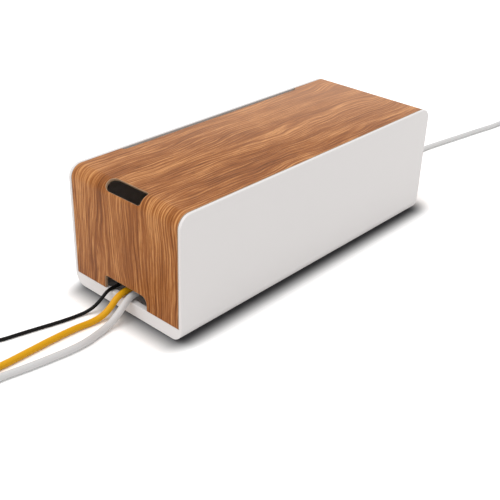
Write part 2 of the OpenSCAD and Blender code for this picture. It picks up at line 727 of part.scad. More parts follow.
module white_coil() color(WHITE_PLASTIC)
    translate([front_x + WHITE_COIL[0], WHITE_COIL[1], 0]) coil(white_d, white_coil_r, coil_turns);
module yellow_coil() color(YELLOW)
    translate([front_x + YELLOW_COIL[0], YELLOW_COIL[1], 0]) coil(yellow_d, yellow_coil_r, coil_turns);
module black_coil() color(BLACK)
    translate([front_x + BLACK_COIL[0], BLACK_COIL[1], 0]) coil(black_d, black_coil_r, black_coil_turns);
module mains_coil() color(WHITE_PLASTIC)
    translate([rear_x + MAINS_COIL[0], MAINS_COIL[1], 0]) coil(mains_d, mains_coil_r, coil_turns);

// Moulded connector along +X behind its strain relief, width across Y and height across Z
module connector(cord_d, relief_len, w, h, l, r) {
    relief(relief_len + 1, cord_d, min(w, h) / 2 - 1.5);
    along_x(relief_len, relief_len + l) soft_rect(-w / 2, -h / 2, w / 2, h / 2, [r, r, r, r]);
}

// Appliance connector with three contact slots in its face
module white_connector() {
    mouth = white_relief_l + white_connector_l;
    color(WHITE_PLASTIC) translate([white_tail_x, WHITE_COIL[1], white_connector_h / 2]) rotate([0, 0, -90])
        difference() {
            connector(white_d, white_relief_l, white_connector_w, white_connector_h, white_connector_l, 4);
            for (i = [-1, 0, 1]) translate([0, i * white_slot_pitch, (1 - 2 * abs(i)) * white_slot_step])
                block(mouth - contact_depth, -white_slot_w / 2, -white_slot_h / 2,
                    mouth + cut, white_slot_w / 2, white_slot_h / 2);
        }
}

// Flat connector with two round contacts, standing on its edge
module yellow_connector() {
    mouth = yellow_relief_l + yellow_connector_l;
    color(YELLOW) translate([yellow_tail_x, YELLOW_COIL[1], yellow_connector_h / 2]) rotate([0, 0, 90])
        difference() {
            connector(yellow_d, yellow_relief_l, yellow_connector_w, yellow_connector_h,
                yellow_connector_l, 5);
            for (z = [-yellow_contact_z, yellow_contact_z]) translate([mouth - contact_depth, 0, z])
                rotate([0, 90, 0]) cylinder(h = contact_depth + cut, r = yellow_contact_r);
        }
}

// Small charging connector, standing on its edge, with a metal tip
module black_connector() {
    mouth = black_relief_l + black_connector_l;
    y = black_tip_w / 2 + pin_gap;
    z = black_tip_h / 2 + pin_gap;
    color(BLACK) translate([front_x + BLACK_COIL[0], black_tail_y, black_connector_h / 2]) difference() {
        connector(black_d, black_relief_l, black_connector_w, black_connector_h, black_connector_l, 2);
        block(mouth - black_tip_inside, -y, -z, mouth + cut, y, z);
    }
}

module black_connector_tip() {
    start = front_x + BLACK_COIL[0] + black_relief_l + black_connector_l - black_tip_inside;
    r = black_tip_w / 2 - 0.1;
    color(METAL) translate([start, black_tail_y, black_connector_h / 2])
        along_x(0, black_tip_inside + black_tip_l)
            soft_rect(-black_tip_w / 2, -black_tip_h / 2, black_tip_w / 2, black_tip_h / 2, [r, r, r, r]);
}

// Mains plug, standing pins up beside its coil
module at_mains_plug()
    translate([mains_tail_x, MAINS_COIL[1] - relief_reach, plug_h]) rotate([180, 0, -90]) children();
module mains_plug() color(WHITE_PLASTIC) at_mains_plug() angled_plug(mains_d);
module mains_plug_pins() color(METAL) at_mains_plug() plug_pins();

// Charging plug in the strip's port: moulded body with a tapered end, and a metal shell
module usb_plug() color(BLACK) difference() {
    union() {
        translate([0, usb_y, usb_z]) along_x(usb_plug_x - usb_plug_l, usb_plug_x)
            soft_rect(-usb_plug_w / 2, -usb_plug_h / 2, usb_plug_w / 2, usb_plug_h / 2, [2, 2, 2, 2]);
        translate([usb_relief_x, usb_y, usb_z]) relief(usb_relief_l + 1, black_d, 3.5);
    }
    block(usb_plug_x - 3, usb_y - usb_mouth_w / 2, usb_z - usb_mouth_h / 2,
        usb_plug_x + cut, usb_y + usb_mouth_w / 2, usb_z + usb_mouth_h / 2);
}

module usb_plug_shell() color(METAL)
    block(usb_plug_x - 3, usb_y - usb_mouth_w / 2 + 0.2, usb_z - usb_mouth_h / 2 + 0.2,
        strip_x0 + usb_l - 2.5, usb_y + usb_mouth_w / 2 - 0.2, usb_z + usb_mouth_h / 2 - 0.2);

tray();
lid();
foot_front_left();
foot_front_right();
foot_rear_left();
foot_rear_right();
strip_base();
strip_cover();
strip_screws();
socket_insert_1();
socket_insert_2();
socket_insert_3();
socket_insert_4();
live_bus_bar();
neutral_bus_bar();
earth_bus_bar();
switch_housing();
switch_rocker();
usb_socket();
usb_board();
strip_cord_grip();
mains_lead();
mains_coil();
mains_plug();
mains_plug_pins();
white_plug();
white_plug_pins();
white_cord();
white_coil();
white_connector();
yellow_plug();
yellow_plug_pins();
yellow_cord();
yellow_coil();
yellow_connector();
usb_plug();
usb_plug_shell();
black_cord();
black_coil();
black_connector();
black_connector_tip();
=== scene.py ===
"""Looks of the cable management box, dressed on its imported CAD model. Metres, in the row frame."""

import json
import math
from dataclasses import dataclass

import bmesh
import bpy
from mathutils import Matrix, Vector

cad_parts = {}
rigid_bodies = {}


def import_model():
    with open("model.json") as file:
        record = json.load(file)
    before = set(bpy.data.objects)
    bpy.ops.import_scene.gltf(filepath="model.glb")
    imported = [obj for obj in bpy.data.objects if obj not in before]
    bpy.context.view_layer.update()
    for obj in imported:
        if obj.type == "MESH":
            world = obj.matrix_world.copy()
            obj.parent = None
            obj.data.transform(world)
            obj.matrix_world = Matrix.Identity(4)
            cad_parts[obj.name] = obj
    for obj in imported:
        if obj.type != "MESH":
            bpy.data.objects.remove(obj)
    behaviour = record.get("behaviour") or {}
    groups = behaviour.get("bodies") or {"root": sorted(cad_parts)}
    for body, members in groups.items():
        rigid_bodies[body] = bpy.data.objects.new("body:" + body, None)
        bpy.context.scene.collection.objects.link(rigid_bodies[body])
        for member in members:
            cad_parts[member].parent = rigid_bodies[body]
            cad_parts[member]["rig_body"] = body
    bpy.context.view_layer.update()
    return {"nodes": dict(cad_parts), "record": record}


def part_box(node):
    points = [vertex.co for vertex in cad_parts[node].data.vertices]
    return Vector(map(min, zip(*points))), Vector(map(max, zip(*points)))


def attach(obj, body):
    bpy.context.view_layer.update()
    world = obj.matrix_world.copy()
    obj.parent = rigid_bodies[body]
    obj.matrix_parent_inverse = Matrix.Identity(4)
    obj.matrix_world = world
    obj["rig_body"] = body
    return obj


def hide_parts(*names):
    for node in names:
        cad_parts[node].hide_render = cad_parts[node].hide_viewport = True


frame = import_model()
NODES = frame["nodes"]
SLOT_OF = {part["node"]: part["material_slot"] for part in frame["record"]["subparts"]}
MM = 0.001

# Ends and far side of the box
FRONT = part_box("tray")[0].x
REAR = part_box("tray")[1].x
FAR_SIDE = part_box("tray")[1].y

# ---- Camera ----

# Fitted to the box's edges in the photograph
LENS_MM = 61.87
SENSOR_MM = 36
CAMERA_AT = Vector((-635.563, -538.934, 462.233)) * MM
CAMERA_RIGHT = Vector((0.67129802, -0.74044018, 0.03327634))
CAMERA_DOWN = Vector((-0.3454797, -0.35230805, -0.8697832))
CAMERA_AHEAD = Vector((0.65574595, 0.57238744, -0.49231074))
CAMERA_REACH = 50


def make_camera():
    data = bpy.data.cameras.new("camera")
    data.lens = LENS_MM
    data.sensor_width = SENSOR_MM
    data.clip_end = CAMERA_REACH
    camera = bpy.data.objects.new("camera", data)
    bpy.context.scene.collection.objects.link(camera)
    turn = Matrix((CAMERA_RIGHT, -CAMERA_DOWN, -CAMERA_AHEAD)).transposed()
    camera.matrix_world = Matrix.Translation(CAMERA_AT) @ turn.to_4x4()
    bpy.context.scene.camera = camera


make_camera()

# ---- Material helpers ----


def new_material(name):
    """A material, its node tree and its Principled shader."""
    material = bpy.data.materials.new(name)
    material.use_nodes = True
    tree = material.node_tree
    return material, tree, tree.nodes["Principled BSDF"]


def add(tree, kind, inputs=(), **settings):
    """A new node. Its inputs are numbers, or sockets to link to."""
    node = tree.nodes.new(kind)
    for key, value in settings.items():
        setattr(node, key, value)
    for key, value in dict(inputs).items():
        if isinstance(value, bpy.types.NodeSocket):
            tree.links.new(value, node.inputs[key])
        else:
            node.inputs[key].default_value = value
    return node


def math_node(tree, operation, *values, clamp=False):
    """The result of a math node."""
    node = add(tree, "ShaderNodeMath", dict(enumerate(values)), operation=operation)
    node.use_clamp = clamp
    return node.outputs[0]


def object_position(tree):
    return add(tree, "ShaderNodeTexCoord").outputs["Object"]


def noise(tree, vector, scale=1, detail=2, roughness=0.5, stretch=(1, 1, 1)):
    """Noise of a position, with so many waves to the metre: scale times stretch."""
    at = add(tree, "ShaderNodeVectorMath", {0: vector, 1: stretch}, operation="MULTIPLY")
    inputs = {"Vector": at.outputs[0], "Scale": scale, "Detail": detail, "Roughness": roughness}
    return add(tree, "ShaderNodeTexNoise", inputs).outputs["Fac"]


def ramp(tree, factor, *stops):
    """A colour ramp through (position, colour) stops."""
    node = add(tree, "ShaderNodeValToRGB", {"Fac": factor})
    elements = node.color_ramp.elements
    while len(elements) < len(stops):
        elements.new(0.5)
    for element, (position, colour) in zip(elements, stops):
        element.position = position
        element.color = (*colour, 1)
    return node.outputs["Color"]


def two_tones(tree, value, dark, light):
    """From dark to light over the range in which noise mostly stays."""
    return ramp(tree, value, (0.3, dark), (0.7, light))


def scaled(colour, factor):
    return tuple(part * factor for part in colour)


def mix(tree, factor, a, b):
    """Two colours mixed."""
    node = add(tree, "ShaderNodeMix", data_type="RGBA")
    for socket, value in ((0, factor), (6, a), (7, b)):
        if isinstance(value, bpy.types.NodeSocket):
            tree.links.new(value, node.inputs[socket])
        else:
            node.inputs[socket].default_value = value if socket == 0 else (*value, 1)
    return node.outputs[2]


def coloured(tree, shader, tone):
    tree.links.new(tone, shader.inputs["Base Color"])


def roughened(tree, shader, value, at_0, at_1):
    """Roughness between two limits, by a value of 0 to 1."""
    sheen = add(tree, "ShaderNodeMapRange", {"Value": value, "To Min": at_0, "To Max": at_1})
    tree.links.new(sheen.outputs[0], shader.inputs["Roughness"])


def bumped(tree, shader, height, distance):
    """Bump from a height that is 0 to 1 times distance."""
    bump = add(tree, "ShaderNodeBump", {"Height": height, "Distance": distance})
    tree.links.new(bump.outputs["Normal"], shader.inputs["Normal"])


# ---- Plain materials ----


def moulded(name, colour, rough=0.4, grain_mm=0.6, grain_depth=0.02, mottle=0.03, specular=0.5):
    """Moulded plastic or rubber: fine grain, slow changes of tone and of sheen."""
    material, tree, shader = new_material(name)
    position = object_position(tree)
    slow = noise(tree, position, scale=9)
    coloured(tree, shader, two_tones(tree, slow, scaled(colour, 1 - mottle), scaled(colour, 1 + mottle)))
    grain = noise(tree, position, scale=1 / (grain_mm * MM), detail=3, roughness=0.6)
    roughened(tree, shader, grain, rough - 0.04, rough + 0.05)
    shader.inputs["Specular IOR Level"].default_value = specular
    bumped(tree, shader, grain, grain_depth * MM)
    return material


def plated(name, colour, rough, streak):
    """Metal with fine drawn lines along X."""
    material, tree, shader = new_material(name)
    lines = noise(tree, object_position(tree), detail=4, stretch=(90, 2600, 2600))
    coloured(tree, shader, two_tones(tree, lines, scaled(colour, 1 - streak), colour))
    shader.inputs["Metallic"].default_value = 1
    roughened(tree, shader, lines, rough - 0.06, rough + 0.08)
    bumped(tree, shader, lines, 0.01 * MM)
    return material


def cable(name, colour, rough=0.38, specular=0.35):
    """Extruded cable sheath: smooth, with soft waves in its tone and sheen and a fine grain."""
    material, tree, shader = new_material(name)
    position = object_position(tree)
    waves = noise(tree, position, scale=22, detail=3)
    coloured(tree, shader, two_tones(tree, waves, scaled(colour, 0.95), colour))
    roughened(tree, shader, waves, rough - 0.06, rough + 0.06)
    shader.inputs["Specular IOR Level"].default_value = specular
    bumped(tree, shader, noise(tree, position, scale=900), 0.012 * MM)
    return material


def fibreboard():
    """The lid's core, seen at its cut edges and from inside."""
    material, tree, shader = new_material("lid_core")
    flecks = noise(tree, object_position(tree), scale=1400, detail=4, roughness=0.7)
    coloured(tree, shader, ramp(tree, flecks, (0.35, (0.42, 0.26, 0.15)), (0.65, (0.56, 0.38, 0.24))))
    shader.inputs["Roughness"].default_value = 0.65
    bumped(tree, shader, flecks, 0.05 * MM)
    return material


# ---- Wood film ----

# Tones, dark to light, and the pale tone of the painted sheen and paler wood towards the rear and far edge
WOOD_PORE = (0.10, 0.026, 0.005)
WOOD_DARK = (0.150, 0.042, 0.007)
WOOD_MID = (0.345, 0.114, 0.025)
WOOD_LIGHT = (0.67, 0.31, 0.11)
WOOD_PALE_AND_SHEEN = (0.81, 0.46, 0.28)
RING_WIDTH = 3.6 * MM
# How many rings the growth lines drift by
RING_DRIFT = 9
# How far the grain sways across itself
SWAY = 30 * MM
# Painted sheen and paler wood cover this range of U + 2 V, up to this share, with an edge that wavers
PALE_SHEEN_FROM = -30 * MM
PALE_SHEEN_TO = 270 * MM
PALE_SHEEN_SHARE = 0.30
PALE_SHEEN_WAVER = 120 * MM


def weighted(tree, *terms):
    """0.5 and the sum of each value's distance from 0.5 times its weight."""
    total = 0.5 - 0.5 * sum(weight for value, weight in terms)
    for value, weight in terms:
        total = math_node(tree, "MULTIPLY_ADD", value, weight, total)
    return total


def growth_rings(tree, across, drift):
    """Lines along the grain, steeper on one side, that bend with the drift."""
    turns = math_node(tree, "MULTIPLY", across, 1 / RING_WIDTH)
    turns = math_node(tree, "MULTIPLY_ADD", drift, RING_DRIFT, turns)
    levels = ((0.0, 0.15), (0.3, 0.9), (0.7, 0.6), (1.0, 0.1))
    return ramp(tree, math_node(tree, "FRACT", turns), *((at, (level,) * 3) for at, level in levels))


def wood():
    """Oak-look film. The UV map is in metres: U along the grain, V across it."""
    material, tree, shader = new_material("wood_film")
    flat = add(tree, "ShaderNodeUVMap", uv_map="grain").outputs[0]
    parts = add(tree, "ShaderNodeSeparateXYZ", {0: flat}).outputs
    sway = noise(tree, flat, roughness=0.45, stretch=(8, 16, 1))
    sway = math_node(tree, "MULTIPLY_ADD", sway, SWAY, -SWAY / 2)
    across = math_node(tree, "ADD", parts["Y"], sway)
    uv = add(tree, "ShaderNodeCombineXYZ", {"X": parts["X"], "Y": across}).outputs[0]
    drift = noise(tree, uv, detail=1.5, roughness=0.45, stretch=(3.5, 30, 1))
    rings = growth_rings(tree, across, drift)
    broad = noise(tree, uv, stretch=(6, 45, 1))
    streak = noise(tree, uv, detail=2.5, roughness=0.55, stretch=(12, 380, 1))
    fibre = noise(tree, uv, detail=4, roughness=0.65, stretch=(45, 1300, 1))
    level = weighted(tree, (rings, 0.38), (broad, 0.95), (streak, 1.05), (fibre, 1.1))
    tone = ramp(tree, level, (0.12, WOOD_DARK), (0.50, WOOD_MID), (0.88, WOOD_LIGHT))
    # Short dark pores
    pores = noise(tree, uv, stretch=(110, 1700, 1))
    pore = add(tree, "ShaderNodeMapRange", {"Value": pores, "From Min": 0.58, "From Max": 0.68}).outputs[0]
    pore = math_node(tree, "MULTIPLY", pore, 0.5)
    tone = mix(tree, pore, tone, WOOD_PORE)
    # Painted sheen, with paler wood, towards the rear and the far edge
    aslant = math_node(tree, "MULTIPLY_ADD", parts["Y"], 2, parts["X"])
    aslant = math_node(tree, "MULTIPLY_ADD", broad, PALE_SHEEN_WAVER, aslant)
    span = {"Value": aslant, "From Min": PALE_SHEEN_FROM, "From Max": PALE_SHEEN_TO, "To Max": PALE_SHEEN_SHARE}
    pale_and_sheen = add(tree, "ShaderNodeMapRange", span).outputs[0]
    coloured(tree, shader, mix(tree, pale_and_sheen, tone, WOOD_PALE_AND_SHEEN))
    roughened(tree, shader, fibre, 0.52, 0.38)
    shader.inputs["Specular IOR Level"].default_value = 0.15
    bumped(tree, shader, math_node(tree, "SUBTRACT", fibre, pore), 0.05 * MM)
    return material


MATERIALS = {
    "white_plastic": moulded("white_plastic", (0.80, 0.77, 0.76), grain_mm=0.8, mottle=0.006, specular=0.3),
    "wood_veneer": wood(),
    "rubber": moulded("rubber", (0.035, 0.034, 0.033), rough=0.75, grain_mm=0.5, grain_depth=0.06),
    "dark_plastic": moulded("dark_plastic", (0.045, 0.045, 0.048), rough=0.48, grain_mm=0.5,
        grain_depth=0.05),
    "red_plastic": moulded("red_plastic", (0.50, 0.025, 0.015), rough=0.24),
    "brass": plated("brass", (0.76, 0.56, 0.24), rough=0.30, streak=0.12),
    "steel": plated("steel", (0.74, 0.73, 0.72), rough=0.24, streak=0.10),
    "board_green": moulded("board_green", (0.02, 0.16, 0.06), rough=0.30, grain_mm=1.5),
    "white_cable": cable("white_cable", (0.68, 0.675, 0.67)),
    "yellow_cable": cable("yellow_cable", (0.80, 0.40, 0.006), specular=0.2),
    "black_cable": cable("black_cable", (0.006, 0.006, 0.006), rough=0.34, specular=0.12),
    "velcro": moulded("velcro", (0.03, 0.03, 0.032), rough=0.85, grain_mm=0.9, grain_depth=0.25),
}
LID_CORE = fibreboard()

# ---- Cords, in millimetres where nothing else is said ----


@dataclass
class Cord:
    """A free cord, its route to its coil and the coil, with X measured from the box's end."""

    name: str
    tube: str  # CAD node of its run up to the coil
    slot: str
    pieces: tuple  # CAD nodes at its two ends
    far_end: str
    length: float  # metres
    end: float  # X of the box's end, in metres
    diameter: float
    exit_at: tuple
    route: list
    centre: tuple
    radius: float  # of the turn that the cord joins
    turns: int  # side by side, in each of two layers
    start_deg: float
    spin: int  # 1 for anticlockwise from above, -1 for clockwise
    tail_z: float  # height at which the far end leaves the coil
    tie_deg: float  # place of the strap on the coil


CORDS = [
    Cord("white", tube="white_cord", slot="white_cable",
        pieces=("white_plug", "white_plug_pins", "white_connector"), far_end="connector", length=1.5,
        end=FRONT, diameter=7, exit_at=(78, 0, 57.5),
        route=[(68, -0.6, 56.2), (58.5, -1.5, 52.5), (50.5, -2.4, 46.5), (44, -3, 38.5), (37.5, -3.5, 30.5),
            (29.5, -3.8, 24.7), (20, -3.9, 21), (10, -4.1, 19.6), (2, -5.2, 19.3), (-5, -7, 18),
            (-11.5, -8.4, 14.8), (-18.5, -9.3, 10.4), (-27, -10.2, 6.3), (-36, -11.3, 4.1), (-46, -12.8, 3.5),
            (-60, -15, 3.5), (-75, -15.1, 3.5), (-95, -12.8, 3.5), (-119, -9, 3.5), (-143, -4.3, 3.5),
            (-172, -0.9, 3.5), (-208, 0.2, 3.5), (-244, 0.1, 3.5), (-255, 0, 3.5)],
        centre=(-255, -49), radius=49, turns=2, start_deg=90, spin=1, tail_z=10.5, tie_deg=-140),
    Cord("yellow", tube="yellow_cord", slot="yellow_cable",
        pieces=("yellow_plug", "yellow_plug_pins", "yellow_connector"), far_end="connector", length=1.5,
        end=FRONT, diameter=6.5, exit_at=(174, 0, 57.5),
        route=[(163, 1.5, 57), (154.5, 6, 56), (147.5, 13, 54.5), (140.5, 20, 52.5), (131.5, 24.5, 50.8),
            (121.5, 26, 50), (95, 22, 49.7), (69, 12.5, 49.5), (58, 9, 48.8), (48, 6.8, 45), (39, 5.5, 38),
            (31, 5, 29), (22, 5, 23.3), (13, 5.3, 20.3), (4, 5.8, 19.3), (-3.5, 4.8, 18.7), (-9.5, 4.3, 16),
            (-15, 4.2, 11.6), (-21, 4.7, 7.4), (-28, 5.7, 4.4), (-36, 6.6, 3.3), (-52, 8.7, 3.25),
            (-78, 9.7, 3.25), (-104, 9.4, 3.25), (-132, 9.2, 3.25), (-160, 11.5, 3.25), (-202, 17.6, 3.25),
            (-210, 18, 3.25)],
        centre=(-210, 64), radius=46, turns=2, start_deg=-90, spin=-1, tail_z=10, tie_deg=60),
    Cord("black", tube="black_cord", slot="black_cable",
        pieces=("usb_plug", "usb_plug_shell", "black_connector", "black_connector_tip"), far_end="connector",
        length=1.0, end=FRONT, diameter=3.5, exit_at=(28.2, 14, 24),
        route=[(21, 16.3, 22.5), (14, 18.8, 20), (7.5, 21, 17.9), (1, 22, 17), (-5, 21.2, 16.4),
            (-10.5, 20.5, 13.9), (-15.5, 20.5, 10.6), (-21.5, 21.6, 6.6), (-28.5, 23.8, 3.3), (-36, 26, 1.85),
            (-48, 28, 1.75), (-60, 30.7, 1.75), (-76, 35, 1.75), (-94, 39.6, 1.75), (-109, 43.4, 1.75),
            (-123, 49.5, 1.75), (-135.5, 59, 1.75), (-144.5, 71, 1.75), (-149.2, 86, 1.75)],
        centre=(-125, 86), radius=24.2, turns=3, start_deg=180, spin=-1, tail_z=5.5, tie_deg=250),
    Cord("mains", tube="mains_lead", slot="white_cable",
        pieces=("mains_plug", "mains_plug_pins"), far_end="plug", length=1.5,
        end=REAR, diameter=6.5, exit_at=(-27, 0, 19.5),
        route=[(0, 0, 19.5), (12, 0, 17.3), (23, 1, 11.6), (34, 3, 6), (46, 5, 3.4), (75, 11, 3.25),
            (105, 15, 3.25), (137, 17, 3.25), (169, 17, 3.25), (205, 12, 3.25), (242, 6, 3.25),
            (280, 0, 3.25), (330, -8, 3.25), (352, -8.6, 3.25), (370, -5.6, 3.25), (390, -3, 3.25)],
        centre=(390, -49), radius=46, turns=2, start_deg=90, spin=-1, tail_z=8.5, tie_deg=200),
]

# Gap between turns side by side
TURN_GAP = 0.1
POINTS_A_TURN = 16
# Share of a turn over which the cord climbs to the second layer
CLIMB = 1 / 6
# Share of a turn over which the far end leaves the coil, and its step outwards in diameters
TAIL_TURN = 0.25
TAIL_STEP = 0.6
# Length of cord inside a strain relief
INTO_RELIEF = 4
# Fineness of the curve along the cord and round it
STEPS_ALONG = 6
STEPS_ROUND = 5


def eased(t):
    t = min(max(t, 0), 1)
    return t * t * (3 - 2 * t)


def coil_points(cord):
    """Inward turns on the floor, outward turns on top of them and the far end's part of a turn."""
    pitch = cord.diameter + TURN_GAP
    all_turns = 2 * cord.turns
    points = []
    for k in range(1, int((all_turns + TAIL_TURN) * POINTS_A_TURN) + 1):
        t = k / POINTS_A_TURN
        tail = eased((t - all_turns) / TAIL_TURN)
        inward = min(t, max(all_turns - t, 0))
        layer = eased((t - cord.turns) / CLIMB + 0.5)
        r = cord.radius - pitch * inward + TAIL_STEP * cord.diameter * tail
        z = cord.diameter * (0.5 + layer) + (cord.tail_z - 1.5 * cord.diameter) * tail
        a = math.radians(cord.start_deg + cord.spin * 360 * t)
        points.append((cord.centre[0] + r * math.cos(a), cord.centre[1] + r * math.sin(a), z))
    return points


def cord_points(cord):
    """All points of a cord, in metres: from inside its strain relief to inside its far end's."""
    leaving = Vector(cord.route[0]) - Vector(cord.exit_at)
    start = Vector(cord.exit_at) - leaving.normalized() * INTO_RELIEF
    coil = coil_points(cord)
    last = Vector(coil[-1])
    spoke = last - Vector((*cord.centre, cord.tail_z))
    onward = spoke.cross(Vector((0, 0, -cord.spin))).normalized()
    points = [start, cord.exit_at, *cord.route, *coil, last + onward * INTO_RELIEF]
    return [Vector((cord.end / MM + x, y, z)) * MM for x, y, z in points]


def make_cord(cord):
    """The cord as one smooth curve that stands for its CAD tube and coil."""
    curve = bpy.data.curves.new(cord.name + "_cord_line", "CURVE")
    curve.dimensions = "3D"
    points = cord_points(cord)
    spline = curve.splines.new("BEZIER")
    spline.bezier_points.add(len(points) - 1)
    for knot, point in zip(spline.bezier_points, points):
        knot.co = point
        knot.handle_left_type = knot.handle_right_type = "AUTO"
    curve.resolution_u = STEPS_ALONG
    curve.bevel_resolution = STEPS_ROUND
    curve.bevel_depth = cord.diameter / 2 * MM
    curve.use_fill_caps = True
    curve.materials.append(MATERIALS[cord.slot])
    piece = bpy.data.objects.new(cord.name + "_cord_line", curve)
    bpy.context.scene.collection.objects.link(piece)
    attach(piece, "tray")
    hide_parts(cord.tube, cord.name + "_coil")
    return piece


cord_pieces = {cord.name: make_cord(cord) for cord in CORDS}

# ---- Pieces with softened edges ----

# Points closer than this are one point
WELD = 0.002 * MM
# Faces that bend less than this are one face
FLAT_DEG = 0.1
# Edges that bend more than this are rounded, with so many faces
CORNER_DEG = 32
CORNER_FACES = 2


def link_mesh(name, mesh):
    piece = bpy.data.objects.new(name, mesh)
    bpy.context.scene.collection.objects.link(piece)
    return piece


def softened(node, width, mend=None):
    """A copy of a CAD node with rounded edges, which stands for the node."""
    mesh = NODES[node].data.copy()
    work = bmesh.new()
    work.from_mesh(mesh)
    bmesh.ops.remove_doubles(work, verts=work.verts, dist=WELD)
    if mend:
        mend(work)
    bmesh.ops.dissolve_limit(work, angle_limit=math.radians(FLAT_DEG), verts=work.verts, edges=work.edges)
    work.to_mesh(mesh)
    work.free()
    mesh.materials.clear()
    mesh.materials.append(MATERIALS[SLOT_OF[node]])
    for polygon in mesh.polygons:
        polygon.use_smooth = True
    rough = link_mesh(node + "_rough", mesh)
    bevel = rough.modifiers.new("edges", "BEVEL")
    bevel.limit_method = "ANGLE"
    bevel.angle_limit = math.radians(CORNER_DEG)
    bevel.width = width * MM
    bevel.segments = CORNER_FACES
    bevel.use_clamp_overlap = False
    bevel.miter_outer = "MITER_ARC"
    normals = rough.modifiers.new("normals", "WEIGHTED_NORMAL")
    normals.keep_sharp = True
    done = bpy.data.meshes.new_from_object(rough.evaluated_get(bpy.context.evaluated_depsgraph_get()))
    bpy.data.objects.remove(rough)
    piece = link_mesh(node + "_finish", done)
    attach(piece, NODES[node]["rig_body"])
    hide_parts(node)
    return piece


LID_BEND_R = 13 * MM
LID_THICK = 3 * MM
LID_LOW = 15.3 * MM
LID_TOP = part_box("lid")[1].z
LID_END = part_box("lid")[1].x
BEND_X = LID_END - LID_BEND_R
BEND_Z = LID_TOP - LID_BEND_R
# Reach of the tiny roundings at the lid's lower corners
LOW_ROUNDING = 0.25 * MM
# How far a corner in a bend may lie off its cylinder
OFF_BEND = 0.1 * MM


def true_bends(work):
    """Moves corners in the lid's bends onto true cylinders, and its tiny lower roundings to one corner."""
    for vert in work.verts:
        if LID_END - abs(vert.co.x) < LOW_ROUNDING and 0 <= vert.co.z - LID_LOW < LOW_ROUNDING:
            vert.co.x = math.copysign(LID_END, vert.co.x)
            vert.co.z = LID_LOW
        x, z = abs(vert.co.x) - BEND_X, vert.co.z - BEND_Z
        r = math.hypot(x, z)
        for true_r in (LID_BEND_R, LID_BEND_R - LID_THICK):
            if x > 0 and z > 0 and abs(r - true_r) < OFF_BEND:
                vert.co.x = math.copysign(BEND_X + x * true_r / r, vert.co.x)
                vert.co.z = BEND_Z + z * true_r / r
    bmesh.ops.remove_doubles(work, verts=work.verts, dist=WELD)


# Widths of the rounded edges, in millimetres
SOFT_EDGES = {
    "tray": 0.6,
    "strip_base": 0.18,
    "strip_cover": 0.2,
    "switch_housing": 0.2,
    "switch_rocker": 0.3,
    **{f"socket_insert_{number}": 0.3 for number in (1, 2, 3, 4)},
    "strip_cord_grip": 0.3,
    "white_connector": 0.4,
    "yellow_connector": 0.3,
    "usb_plug": 0.3,
    "black_connector": 0.2,
    **{f"foot_{place}": 0.4 for place in ("front_left", "front_right", "rear_left", "rear_right")},
}
LID_EDGE = 0.35

finished = {node: softened(node, width) for node, width in SOFT_EDGES.items()}
finished["lid"] = softened("lid", LID_EDGE, mend=true_bends)
for name, node in NODES.items():
    if name not in finished and not node.hide_render:
        node.data.materials.clear()
        node.data.materials.append(MATERIALS[SLOT_OF[name]])

# ---- Lid ----

# Depth under the outer skin to which the wood film reaches
FILM = 0.05 * MM
# Least cosine between a face and the skin that it belongs to
ALONG_SKIN = 0.97


def grain_place(x, y, z):
    """A point of the lid on its film laid flat: metres along the grain and across it."""
    side = math.copysign(1, x)
    quarter = LID_BEND_R * math.pi / 2
    if abs(x) <= BEND_X:
        along = abs(x)
    elif z >= BEND_Z:
        along = BEND_X + LID_BEND_R * math.atan2(abs(x) - BEND_X, z - BEND_Z)
    else:
        along = BEND_X + quarter + BEND_Z - z
    return side * along, y


def skin(p):
    """Depth of a point under the lid's outer skin, and the skin's normal there."""
    side = math.copysign(1, p.x)
    x, z = abs(p.x) - BEND_X, p.z - BEND_Z
    if x > 0 and z > 0:
        r = math.hypot(x, z)
        return LID_BEND_R - r, Vector((side * x / r, 0, z / r))
    if x > 0:
        return LID_END - abs(p.x), Vector((side, 0, 0))
    return LID_TOP - p.z, Vector((0, 0, 1))


def dress_lid(piece):
    """Lays the film's UV map, shows the core where the film ends and smooths the skin's shading."""
    mesh = piece.data
    layer = mesh.uv_layers.get("grain") or mesh.uv_layers.new(name="grain")
    mesh.uv_layers.active = layer
    layer.active_render = True
    for loop in mesh.loops:
        layer.data[loop.index].uv = grain_place(*mesh.vertices[loop.vertex_index].co)
    mesh.materials.append(LID_CORE)
    skins = [skin(vertex.co) for vertex in mesh.vertices]
    normals = [corner.vector.copy() for corner in mesh.corner_normals]
    for polygon in mesh.polygons:
        on_film = all(skins[i][0] < FILM for i in polygon.vertices)
        polygon.material_index = 0 if on_film else 1
        for i in polygon.loop_indices:
            depth, outward = skins[mesh.loops[i].vertex_index]
            if depth < FILM and polygon.normal.dot(outward) > ALONG_SKIN:
                normals[i] = outward
    mesh.normals_split_custom_set(normals)


dress_lid(finished["lid"])

# ---- Coil ties, in millimetres ----

TIE_W = 9
TIE_T = 0.7
TIE_CORNER_R = 2.5
TIE_CORNER_STEPS = 6
# The strap's outer face is this share of its width narrower on each side
TIE_TAPER = 0.04
# Height of the strap's loop over the floor, its slack over the coil and its lowest point
TIE_LIFT = 0.05
TIE_SLACK = 0.2
TIE_LOWEST = 0.02
TIE_SHARP_DEG = 40


def tie_loop(cord):
    """The strap's corner radius, and its loop: the middle of each corner and a direction from there."""
    corner_r = min(cord.diameter / 2, TIE_CORNER_R)
    inner = cord.radius - cord.turns * (cord.diameter + TURN_GAP) - cord.diameter / 2 + corner_r
    outer = cord.radius + cord.diameter / 2 - corner_r
    low = TIE_LIFT + corner_r
    high = 2 * cord.diameter + TIE_SLACK - corner_r
    corners = ((outer, high, 0), (inner, high, 90), (inner, low, 180), (outer, low, 270))
    loop = []
    for out_at, up_at, first_deg in corners:
        for step in range(TIE_CORNER_STEPS + 1):
            a = math.radians(first_deg + 90 * step / TIE_CORNER_STEPS)
            loop.append((out_at, up_at, math.cos(a), math.sin(a)))
    return corner_r, loop


